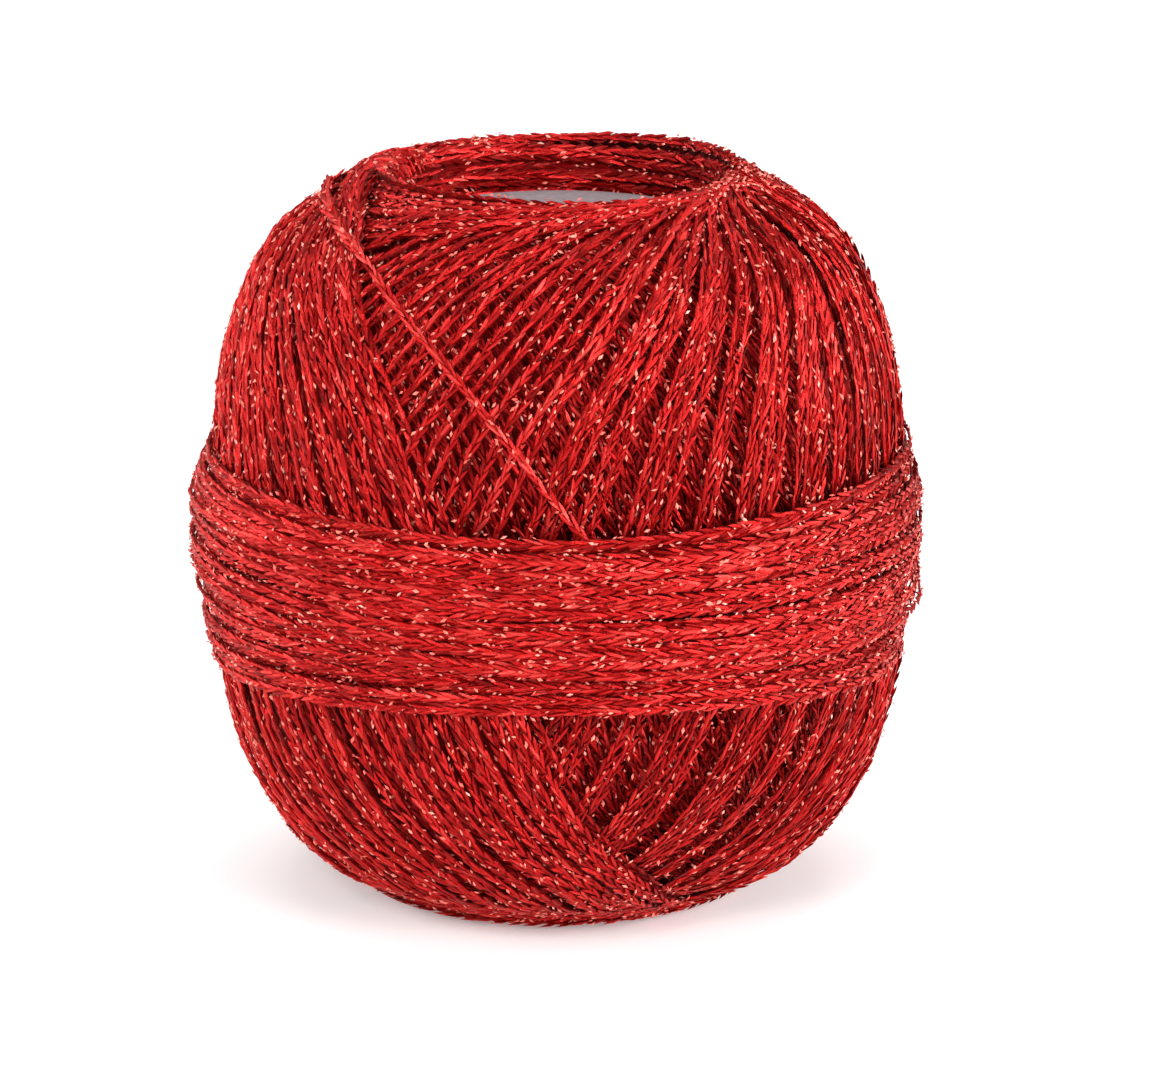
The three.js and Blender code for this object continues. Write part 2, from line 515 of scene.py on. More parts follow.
@dataclass
class Chain:
    """Knitted chain of the yarn: two rows of slanted legs, a back bar under them and glints between.

    Fields that end in spread are standard deviations, but roll_spread also scales the swing of the roll.
    The legs and glints lie on the outer side of a strand's line by their lift.
    """

    rng: np.random.Generator
    pitch: float = 1.25
    place_spread: float = 0.06
    leg_length: float = 1.88
    leg_width: float = 0.41
    leg_thickness: float = 0.27
    leg_sides: int = 4
    leg_twist: float = 24.0
    leg_blunt: float = 0.10
    bow: float = 0.14
    size_spread: float = 0.06
    width_range: Pair = (0.78, 1.2)
    plain_leg_scale: Three = (1.35, 1.1, 1.12)
    row_gap: float = 0.20
    row_gap_spread: float = 0.03
    slant: float = 10.5
    slant_spread: float = 2.8
    dive: float = 4.5
    dive_spread: float = 2.2
    leg_roll: float = 20.0
    leg_roll_spread: float = 10.0
    lift: float = 0.08
    lift_spread: float = 0.035
    tone_spread: float = 0.12
    roll_spread: float = 15.0
    roll_swing: Pair = (0.3, 0.9)
    roll_length: float = 4.3
    bar_width: float = 0.8
    bar_depth: float = 0.26
    bar_thickness: float = 0.4
    bar_scale: float = 1.3
    bar_spacing: float = 1.1
    # Painted shade: the back bars lie under the legs and get a dark tone
    bar_painted_shade_tone: float = 0.2
    bar_tone_spread: float = 0.05
    glints_per_stitch: float = 0.88
    glint_size: Three = (0.26, 0.15, 0.58)
    glint_spreads: Three = (26.0, 20.0, 30.0)
    glint_scales: Pair = (0.6, 1.1)
    glint_rows: Three = (-0.46, 0.0, 0.46)
    glint_row_spread: float = 0.05
    glint_lift: float = 0.20
    glint_fall: float = 0.26
    glint_tones: Pair = (1.1, 3.2)

    def shapes(self) -> dict[str, Shape]:
        """Models the legs, the back bar and the glint once each.

        Returns:
            The shapes by name.
        """
        leg = (self.leg_width, self.leg_thickness, self.leg_length)
        plain_leg = (size * scale for size, scale in zip(leg, self.plain_leg_scale))
        bar = (self.bar_width * self.bar_scale, self.bar_thickness, self.leg_length * self.bar_scale)
        return {
            "leg": grain_shape(self.leg_sides, leg, self.leg_twist, self.leg_blunt, self.bow),
            "plain_leg": sliver_shape(*plain_leg),
            "bar": sliver_shape(*bar),
            "glint": sliver_shape(*self.glint_size),
        }

    def _axes(
        self, directions: Sequence[np.ndarray], turn: np.ndarray, dive: np.ndarray, roll: np.ndarray
    ) -> np.ndarray:
        """Directions of a grain that is turned in the surface, dives into it and rolls about its length.

        Args:
            directions: Strand, sideways and outward directions.
            turn: Degrees turned sideways.
            dive: Degrees that the front tip dives.
            roll: Degrees that the grain is rolled.

        Returns:
            Width, thickness and length directions of each grain.
        """
        forward, sideways, outward = directions
        turn, dive, roll = (np.radians(angle)[:, None] for angle in (turn, dive, roll))
        length = np.cos(turn) * forward + np.sin(turn) * sideways
        length = np.cos(dive) * length - np.sin(dive) * outward
        across = np.cross(outward, length)
        across /= np.linalg.norm(across, axis=1)[:, None]
        up = np.cross(length, across)
        width = np.cos(roll) * across + np.sin(roll) * up
        return np.stack([width, np.cross(length, width), length], axis=1)

    def _rolled(self, path: Path, stations: np.ndarray, roll: Three) -> tuple[np.ndarray, ...]:
        """Places and directions along a strand that rolls slowly about its own line.

        Args:
            path: Line of the strand.
            stations: Distances along it.
            roll: Mean roll and swing in degrees, and the swing's phase in radians.

        Returns:
            Points, and forward, sideways and outward directions.
        """
        points, forward, sideways, outward = path.frames(stations)
        mean, swing, phase = roll
        turn = np.radians(mean + swing * np.sin(stations / self.roll_length + phase))[:, None]
        tilted = np.cos(turn) * sideways + np.sin(turn) * outward
        return points, forward, tilted, np.cross(forward, tilted)

    def _legs(self, strand: Strand, count: int, side: float, roll: Three) -> Placing:
        """Lays one row of legs.

        Args:
            strand: The strand.
            count: Number of its stitches.
            side: -1 for one row and 1 for the other.
            roll: Roll of the strand.

        Returns:
            The legs' places.
        """
        stations = (np.arange(count) + 0.25 + 0.25 * side) * (strand.path.length / count)
        stations = stations + self.rng.normal(0, self.place_spread, count)
        points, *directions = self._rolled(strand.path, stations, roll)
        turn = -side * (self.slant + self.rng.normal(0, self.slant_spread, count))
        dive = self.dive + self.rng.normal(0, self.dive_spread, count)
        leg_roll = self.rng.normal(0, self.leg_roll_spread, count) - side * self.leg_roll
        axes = self._axes(directions, turn, dive, leg_roll)
        axes *= 1 + self.rng.normal(0, self.size_spread, (count, 1, 1))
        axes[:, 0] *= self.rng.uniform(*self.width_range, (count, 1))
        shift = side * self.row_gap + self.rng.normal(0, self.row_gap_spread, count)
        centres = points + directions[1] * shift[:, None]
        centres += directions[2] * self.rng.normal(self.lift, self.lift_spread, count)[:, None]
        tones = strand.tone + self.rng.normal(0, self.tone_spread, count)
        return Placing(centres, axes, tones, points, directions[1], directions[2])

    def rows(self, strand: Strand) -> tuple[list[Placing], Placing]:
        """Lays the stitches of one strand.

        Args:
            strand: The strand.

        Returns:
            The two rows of legs, and the glints between them.
        """
        count = max(int(strand.path.length / self.pitch), 2)
        swing = self.rng.uniform(*self.roll_swing) * self.roll_spread
        roll = (self.rng.normal(0, self.roll_spread), swing, self.rng.uniform(0, ANY_PHASE))
        legs = [self._legs(strand, count, side, roll) for side in (-1.0, 1.0)]
        return legs, self._glints(strand.path, count, roll)

    def _glints(self, path: Path, count: int, roll: Three) -> Placing:
        """Lays the metallic glints of one strand.

        Args:
            path: Line of the strand.
            count: Number of its stitches.
            roll: Roll of the strand.

        Returns:
            The glints' places.
        """
        number = int(count * self.glints_per_stitch)
        stations = np.sort(self.rng.uniform(0, path.length, number))
        points, *directions = self._rolled(path, stations, roll)
        turns = (self.rng.normal(0, spread, number) for spread in self.glint_spreads)
        axes = self._axes(directions, *turns)
        axes *= self.rng.uniform(*self.glint_scales, (number, 1, 1))
        shift = self.rng.choice(self.glint_rows, number)
        shift = shift + self.rng.normal(0, self.glint_row_spread, number)
        centres = points + directions[1] * shift[:, None]
        centres += directions[2] * (self.glint_lift - self.glint_fall * np.abs(shift[:, None]))
        tones = self.rng.beta(*self.glint_tones, number)
        return Placing(centres, axes, tones, points, directions[1], directions[2])

    def bars(self, path: Path) -> Placing:
        """Lays the back bars that close a strand from below.

        Args:
            path: Line of the strand.

        Returns:
            The bars' places.
        """
        count = max(int(path.length / (self.pitch * self.bar_spacing)), 2)
        points, *directions = path.frames((np.arange(count) + 0.5) * path.length / count)
        zero = np.zeros(count)
        axes = self._axes(directions, zero, zero, zero)
        centres = points - directions[2] * self.bar_depth
        tones = self.rng.normal(self.bar_painted_shade_tone, self.bar_tone_spread, count)
        return Placing(centres, axes, tones, points, directions[1], directions[2])


def joined(placings: Sequence[Placing]) -> Placing:
    """Joins several placings in one."""
    parts = ([getattr(placing, part.name) for placing in placings] for part in fields(Placing))
    return Placing(*(np.concatenate(part) for part in parts))


@dataclass
class Strand:
    """One turn or stretch of the yarn."""

    path: Path
    tone: float


@dataclass
class YarnWork:
    """Makes the pieces of yarn from strands, and keeps the glints for a piece of their own."""

    chain: Chain
    shapes: dict[str, Shape]
    yarn: bpy.types.Material
    glint: bpy.types.Material
    glints: list[Placing] = field(default_factory=list)
    # Painted shade: how much darker the borders and underside of a strand, the borders of a leg and the back
    # bars are coloured
    strand_painted_shade: float = 0.38
    leg_painted_shade: float = 0.30
    bar_painted_shade: float = 0.05

    def piece(
        self, name: str, strands: Sequence[Strand], detail: Detail = Detail.FINE, glinting: bool = True
    ) -> bpy.types.Object:
        """Lays the chain along strands and joins it in one piece.

        Args:
            name: Name of the piece.
            strands: The strands.
            detail: How finely the legs are modelled.
            glinting: False where too little light falls for glints to show.

        Returns:
            The piece.
        """
        legs: list[Placing] = []
        for strand in strands:
            rows, glints = self.chain.rows(strand)
            legs.extend(rows)
            if glinting:
                self.glints.append(glints)
        shape = self.shapes["leg" if detail is Detail.FINE else "plain_leg"]
        piece = copies_of(shape, joined(legs), name, self.strand_painted_shade, self.leg_painted_shade)
        return self.dressed(piece, self.yarn)

    def backing(self, name: str, strands: Sequence[Strand]) -> bpy.types.Object:
        """Makes the back bars of strands as one piece."""
        bars = joined([self.chain.bars(strand.path) for strand in strands])
        return self.dressed(copies_of(self.shapes["bar"], bars, name, self.bar_painted_shade, 0.0), self.yarn)

    def glint_piece(self, name: str) -> bpy.types.Object:
        """Joins all the glints kept so far in one piece."""
        piece = copies_of(self.shapes["glint"], joined(self.glints), name, 0.0, 0.0)
        return self.dressed(piece, self.glint)

    def dressed(self, piece: bpy.types.Object, material: bpy.types.Material) -> bpy.types.Object:
        """Gives a piece its material and body, and reports it.

        Args:
            piece: The piece.
            material: Its material.

        Returns:
            The piece.
        """
        piece.data.materials.append(material)
        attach(piece, BODY)
        LOG.info("%s: %d triangles", piece.name, len(piece.data.polygons))
        return piece


@dataclass(frozen=True)
class FanLayer:
    """One layer of turns: first and last angle at mid height, bundles and the gap between, and depth.

    The pile is how much deeper each next turn of three lies where the turns gather at the rim.
    """

    name: str
    first: float
    last: float
    bundle: int
    gap: float
    depth: float
    pile: float
    tone: float
    kind: LayerKind
    detail: Detail = Detail.FINE


@dataclass
class Fans:
    """Turns that run from rim to rim, gathered at one place on each side of the top rim.

    Half of the turns are modelled by their angle at mid height, from the edge of the left fan at the
    front to the same edge at the back. The other half is the same, turned half way round the ball.
    """

    section: Section
    rng: np.random.Generator
    meeting: float = 75.0
    far_meeting: float = 56.0
    far_starts: Pair = (75.0, 168.0)
    wrap_from: float = 95.0
    wrap_over: float = 70.0
    heading_starts: Pair = (70.0, 102.0)
    front_edge: float = -12.0
    edge_step: float = 0.8
    edge_fade: float = 48.0
    edge_overlap: float = 2.4
    seat: float = 0.30
    foot: float = 0.40
    foot_reach: Pair = (8.0, 2.0)
    belly: float = 0.35
    belly_place: float = 44.0
    belly_length: float = 9.0
    pile_reach: Pair = (3.0, 13.0)
    past_rims: Pair = (2.2, 2.0)
    under_margins: Pair = (2.5, 1.5)
    bed_margins: Pair = (5.0, 4.0)
    step: float = 0.3
    depth_spread: float = 0.09
    depth_wave: float = 0.07
    depth_wave_length: float = 2.3
    wander: float = 0.13
    wander_lengths: Pair = (4, 8)
    tone_spread: float = 0.04
    spacing: float = 1.05
    spacing_range: Pair = (0.94, 1.08)
    gap_range: Pair = (0.6, 1.35)
    tuck: float = 1.6
    # Painted shade: the deeper layers, under, bed, low_bed and deep_bed, get lower tones the deeper they lie
    layers: tuple[FanLayer, ...] = (
        FanLayer("right", -10.5, 75.0, 3, 1.6, 0.0, 0.4, 0.58, LayerKind.COVERED),
        FanLayer("left", 77.0, 168.0, 3, 0.75, 0.0, 0.4, 0.58, LayerKind.COVERING),
        FanLayer("wraps", -98.0, -15.0, 1, 0.9, 0.12, 0.3, 0.56, LayerKind.COVERED),
        FanLayer("under", 171.0, 254.0, 3, 0.2, 1.2, 0.0, 0.48, LayerKind.UNDER),
        FanLayer("low", 75.5, 105.0, 1, 0.05, 0.1, 0.0, 0.56, LayerKind.LOWER),
        FanLayer("bed", 66.0, 172.0, 1, 0.35, 0.95, 0.0, 0.38, LayerKind.BED, Detail.PLAIN),
        FanLayer("low_bed", 73.0, 107.0, 1, 0.1, 0.8, 0.0, 0.38, LayerKind.LOWER, Detail.PLAIN),
        FanLayer("deep_bed", -14.0, 75.0, 1, 0.35, 1.75, 0.0, 0.30, LayerKind.COVERED, Detail.PLAIN),
    )

    def angle(self, start: float, distance: np.ndarray) -> np.ndarray:
        """Angle of a turn on its way from the upper rim to the lower one.

        Args:
            start: Its angle at mid height.
            distance: Distances down the side from the top rim.

        Returns:
            The angle at each distance.
        """
        middle = float(self.section.distance_at(MIDDLE))
        far = float(smoothstep(start, *self.far_starts))
        total = self.meeting + (self.far_meeting - self.meeting) * far - start
        wrap = float(np.clip((abs(total) - self.wrap_from) / self.wrap_over, 0, 1))
        share = (1 - wrap) * read_curve(GATHER, 1, distance) + wrap * read_curve(GATHER, 2, distance)
        swing = read_curve(SWING, 1, self.section.lower_rim - distance)
        heading = -1 + 2 * float(smoothstep(start, *self.heading_starts))
        return start + np.where(distance < middle, total * share, heading * swing)

    def edge(self, distance: np.ndarray) -> np.ndarray:
        """Angle of the edge where the left fan lies over the right one, at the front."""
        return self.angle(self.front_edge + 180, distance) - 180

    def _between(self, distance: np.ndarray, margins: Pair) -> np.ndarray:
        """True where a turn is further than the margins from the upper and the lower rim."""
        return (distance > margins[0]) & (distance < self.section.lower_rim - margins[1])

    def _lie(
        self, layer: FanLayer, distance: np.ndarray, angle: np.ndarray, radius: np.ndarray
    ) -> tuple[np.ndarray, np.ndarray]:
        """Depth of a turn, and where the covering fan or the rims don't hide it.

        Args:
            layer: Its layer.
            distance: Distances down the side from the top rim.
            angle: Its angle at each distance.
            radius: Radius of the ball at each distance.

        Returns:
            The depth, and True where the turn shows.
        """
        edge = self.edge(distance)
        depth = self.seat + layer.depth + 0 * distance
        shown = np.ones(len(distance), dtype=bool)
        if layer.kind is LayerKind.COVERED:
            depth += self.edge_step * (1 - smoothstep(angle - edge, 1, self.edge_fade))
            shown = np.radians(angle - edge) * radius > -self.edge_overlap
        elif layer.kind is LayerKind.UNDER:
            depth += self.edge_step * (1 - smoothstep(angle - 180 - edge, 1, self.edge_fade))
            shown = self._between(distance, self.under_margins)
        elif layer.kind is LayerKind.BED:
            shown = self._between(distance, self.bed_margins)
        elif layer.kind is LayerKind.LOWER:
            shown = distance > self.section.distance_at(MIDDLE)
        return depth, shown

    def strand(self, start: float, layer: FanLayer, belt: Belt, turned: float, number: int) -> list[Strand]:
        """Lays one turn of a layer, without the stretches that the belt or the covering fan hides.

        Args:
            start: Its angle at mid height.
            layer: Its layer.
            belt: The belt over it.
            turned: Degrees that its half of the fans is turned round the ball.
            number: Its number in the layer.

        Returns:
            The stretches that show.
        """
        lower_rim = self.section.lower_rim
        distance = np.arange(-self.past_rims[0], lower_rim + self.past_rims[1], self.step)
        angle = self.angle(start, distance)
        radius = self.section.read(distance)[0][:, 0]
        depth, shown = self._lie(layer, distance, angle, radius)
        right_side = np.clip(np.sin(np.radians(angle + turned)), 0, None)
        depth -= self.belly * right_side * np.exp(-(((distance - self.belly_place) / self.belly_length) ** 2))
        depth += self.foot * smoothstep(distance, *(lower_rim - reach for reach in self.foot_reach))
        depth += layer.pile * (number % 3) * (1 - smoothstep(distance, *self.pile_reach))
        phase = self.rng.uniform(0, ANY_PHASE)
        depth += self.depth_wave * np.sin(distance / self.depth_wave_length + phase)
        depth += self.rng.normal(0, self.depth_spread)
        waves = distance / self.rng.uniform(*self.wander_lengths) + self.rng.uniform(0, ANY_PHASE)
        angle = angle + np.degrees(self.wander * np.sin(waves) / radius) + turned
        place, normal = self.section.read(distance, -depth)
        path = Path.on_ball(angle, place, normal)
        top, bottom = belt.edges(angle)
        shown &= (place[:, 1] > top - self.tuck) | (place[:, 1] < bottom + self.tuck)
        tone = layer.tone + self.rng.normal(0, self.tone_spread)
        return [Strand(part, tone) for part in path.pieces_where(shown)]

    def starts(self, layer: FanLayer) -> list[float]:
        """Angles at mid height of the turns of one layer, laid in bundles.

        Args:
            layer: The layer.

        Returns:
            The angles.
        """
        radius = float(self.section.line[:, 0].max())
        angles, at = [], layer.first
        while at < layer.last:
            extra = int(self.rng.integers(-1, 2)) if layer.bundle > 1 else 0
            for _ in range(layer.bundle + extra):
                angles.append(at)
                at += math.degrees(self.spacing * self.rng.uniform(*self.spacing_range) / radius)
            at += math.degrees(layer.gap * self.rng.uniform(*self.gap_range) / radius)
        return [angle for angle in angles if angle <= layer.last]

    def build(self, work: YarnWork, belt: Belt) -> list[bpy.types.Object]:
        """Makes the fans and the turns under them.

        Args:
            work: Maker of the pieces of yarn.
            belt: The belt over them.

        Returns:
            The pieces.
        """
        pieces = []
        for turned, place in ((0.0, "front"), (180.0, "back")):
            for layer in self.layers:
                strands: list[Strand] = []
                for number, start in enumerate(self.starts(layer)):
                    strands += self.strand(start, layer, belt, turned, number)
                pieces.append(work.piece(f"fan_{layer.name}_{place}", strands, layer.detail))
        return pieces


@dataclass(frozen=True)
class BeltGroup:
    """Turns of the belt that lie together: heights of the lowest and highest, and how far they stand off.

    Each row of four holds the values at the front, right, back and left. The sway is how far a turn
    strays across the group on its way round.
    """

    count: int
    low: Four
    high: Four
    low_rise: Four
    high_rise: Four
    sway: float
    tone: float


LOWER_TURNS = BeltGroup(
    count=9,
    low=(22.1, 19.8, 21.9, 19.7),
    high=(25.6, 24.4, 25.4, 27.2),
    low_rise=(0.6, 0.4, 0.6, 0.35),
    high_rise=(0.6, 0.5, 0.6, 1.5),
    sway=0.3,
    tone=0.58,
)
MIDDLE_TURNS = BeltGroup(
    count=12,
    low=(25.4, 24.7, 25.1, 27.7),
    high=(33.6, 33.3, 33.4, 33.4),
    low_rise=(1.3, 1.5, 1.3, 1.8),
    high_rise=(1.3, 1.55, 1.3, 1.65),
    sway=0.55,
    tone=0.62,
)
UPPER_TURNS = BeltGroup(
    count=5,
    low=(33.0, 33.9, 33.2, 34.0),
    high=(35.4, 36.9, 35.7, 36.5),
    low_rise=(0.7, 0.7, 0.7, 1.2),
    high_rise=(0.7, 0.5, 0.7, 0.4),
    sway=0.25,
    tone=0.58,
)
# Painted shade: the base turns lie under the other groups and get lower tones
BASE_TURNS = BeltGroup(
    count=17,
    low=(22.2, 20.0, 22.0, 19.9),
    high=(35.0, 36.6, 35.3, 36.2),
    low_rise=(0.0, 0.1, 0.0, 0.0),
    high_rise=(0.0, 0.1, 0.0, 0.1),
    sway=0.15,
    tone=0.46,
)
MIDDLE_BASE_TURNS = BeltGroup(
    count=9,
    low=(25.9, 25.0, 25.6, 25.2),
    high=(33.8, 34.4, 33.7, 34.6),
    low_rise=(0.9, 1.15, 0.9, 0.7),
    high_rise=(0.9, 1.05, 0.9, 0.9),
    sway=0.15,
    tone=0.48,
)


@dataclass
class Belt:
    """Last turns, wound round the middle of the ball.

    Where the turns of a group crowd, every second one ducks under its neighbours.
    """

    section: Section
    rng: np.random.Generator
    groups: tuple[BeltGroup, ...] = (LOWER_TURNS, MIDDLE_TURNS, UPPER_TURNS)
    base: tuple[BeltGroup, ...] = (BASE_TURNS, MIDDLE_BASE_TURNS)
    half_strand: float = STRAND / 2
    crowded_spacing: float = 1.02
    crowding_over: float = 0.4
    duck: float = 0.5
    edge_sway: float = 0.35
    sway_waves: tuple[tuple[int, float], ...] = ((1, 0.7), (2, 0.4), (5, 0.2))
    rise_waves: tuple[tuple[int, float], ...] = ((3, 0.08), (8, 0.05))
    tone_spread: float = 0.04

    def edges(self, angle: np.ndarray) -> tuple[np.ndarray, np.ndarray]:
        """Heights of the belt's upper and lower edges."""
        top = around(self.groups[-1].high, angle) + self.half_strand
        return top, around(self.groups[0].low, angle) - self.half_strand

    @staticmethod
    def _waves(turn: np.ndarray, waves: Sequence[tuple[int, float]], phases: Sequence[float]) -> np.ndarray:
        """Adds up waves round the ball, each with its number of crests, its height and its phase."""
        return sum(height * np.sin(crests * turn + phase) for (crests, height), phase in zip(waves, phases))

    def turns(self, group: BeltGroup) -> list[Strand]:
        """Lays the turns of one group.

        Args:
            group: The group.

        Returns:
            Its turns.
        """
        angle = np.arange(0.0, 361.0, 1.0)
        turn = np.radians(angle)
        rows = (group.low, group.high, group.low_rise, group.high_rise)
        low, high, low_rise, high_rise = (around(row, angle) for row in rows)
        last = group.count - 1
        crowd = np.clip((self.crowded_spacing - (high - low) / last) / self.crowding_over, 0, 1)
        strands = []
        for number in range(group.count):
            phases = self.rng.uniform(0, 2 * math.pi, 3)
            middle = 1 - abs(2 * number / last - 1)
            stray = group.sway * (self.edge_sway + (1 - self.edge_sway) * middle)
            height = low + (high - low) * number / last
            height += stray * self._waves(turn, self.sway_waves, phases)
            rise = low_rise + (high_rise - low_rise) * number / last
            rise -= self.duck * crowd * (number % 2)
            rise += self._waves(turn, self.rise_waves, (phases[1], phases[0]))
            place, normal = self.section.read(self.section.distance_at(height), rise)
            tone = group.tone + self.rng.normal(0, self.tone_spread)
            strands.append(Strand(Path.on_ball(angle, place, normal), tone))
        return strands

    def build(self, work: YarnWork) -> list[bpy.types.Object]:
        """Makes the belt's turns.

        Args:
            work: Maker of the pieces of yarn.

        Returns:
            The pieces.
        """
        strands = [strand for group in self.groups for strand in self.turns(group)]
        base = [strand for group in self.base for strand in self.turns(group)]
        return [work.piece("belt", strands), work.piece("belt_base", base, Detail.PLAIN)]


# The strand across the front: angle, height and how far it stands off
CROSSING = (
    (-88.0, 57.5, 0.9),
    (-72.0, 56.9, 0.75),
    (-60.0, 56.3, 0.5),
    (-51.8, 55.7, 0.25),
    (-44.9, 55.0, 0.0),
    (-38.0, 53.9, -0.2),
    (-29.7, 51.8, -0.3),
    (-20.2, 48.7, -0.3),
    (-12.6, 45.3, -0.3),
    (-5.9, 41.7, -0.25),
    (0.4, 37.9, -0.1),
    (3.9, 35.9, 0.1),
    (6.5, 34.2, -0.2),
)

# The rope over the folds at the left: angle, distance from the rim and how far it stands off
ROPE = (
    (-108.0, -0.2, -0.8),
    (-102.0, 1.1, -0.3),
    (-96.0, 2.1, -0.1),
    (-89.0, 3.0, 0.15),
    (-82.0, 3.7, 0.3),
    (-73.0, 4.5, 0.35),
    (-66.0, 5.0, 0.3),
    (-60.0, 5.6, 0.15),
    (-52.0, 6.6, -0.1),
    (-46.0, 7.8, -0.4),
)

# Turns inside the top rim, and turns round the lower mouth: radius and height
RINGS = (
    (14.45, 58.80),
    (13.75, 58.05),
    (13.45, 57.20),
    (14.00, 56.55),
    (13.35, 55.95),
    (13.45, 55.10),
    (13.50, 54.25),
)
FOOT_RINGS = (
    (16.20, 0.75),
    (15.10, 0.45),
    (14.00, 0.50),
    (13.00, 0.90),
    (12.30, 1.75),
    (11.90, 2.70),
    (11.60, 3.70),
)


@dataclass
class Rings:
    """Turns that lie level round the axis: inside the top rim and round the lower mouth."""

    rng: np.random.Generator
    step: float = 3.0
    ring_sway: float = 0.28
    ring_tone: float = 0.6
    crest_lean: float = 0.75
    inner_lean: float = 0.15
    foot_sway: float = 0.2
    foot_tone: float = 0.5
    mouth_radius: float = 12.5
    mouth_facing: Pair = (-1.0, -0.4)
    foot_facing: Pair = (-0.1, -1.0)

    def _turn(self, place: Pair, sway: Pair, facing: Pair, tone: float) -> Strand:
        """Lays one level turn, which sways twice on its way round.

        Args:
            place: Radius and height.
            sway: How far its radius and its height sway.
            facing: Outward direction, in radius and height.
            tone: Tone of the yarn.

        Returns:
            The turn.
        """
        angle = np.arange(0.0, 361.0, self.step)
        wave = np.sin(2 * np.radians(angle) + self.rng.uniform(0, 2 * math.pi))
        places = np.array(place) + wave[:, None] * np.array(sway)
        normal = np.tile(np.array(facing) / np.linalg.norm(facing), (len(angle), 1))
        return Strand(Path.on_ball(angle, places, normal), tone)

    def top(self) -> list[Strand]:
        """Lays the turns inside the top rim, in two tiers.

        Returns:
            The turns.
        """
        strands = []
        for place in RINGS:
            lean = self.crest_lean if place[1] > HEIGHT - 1 else self.inner_lean
            strands.append(self._turn(place, (0.0, self.ring_sway), (-1.0, lean), self.ring_tone))
        return strands

    def foot(self) -> list[Strand]:
        """Lays the turns round the lower mouth, between the ends of the fans.

        Returns:
            The turns.
        """
        strands = []
        for place in FOOT_RINGS:
            facing = self.mouth_facing if place[0] < self.mouth_radius else self.foot_facing
            strands.append(self._turn(place, (self.foot_sway, 0.0), facing, self.foot_tone))
        return strands


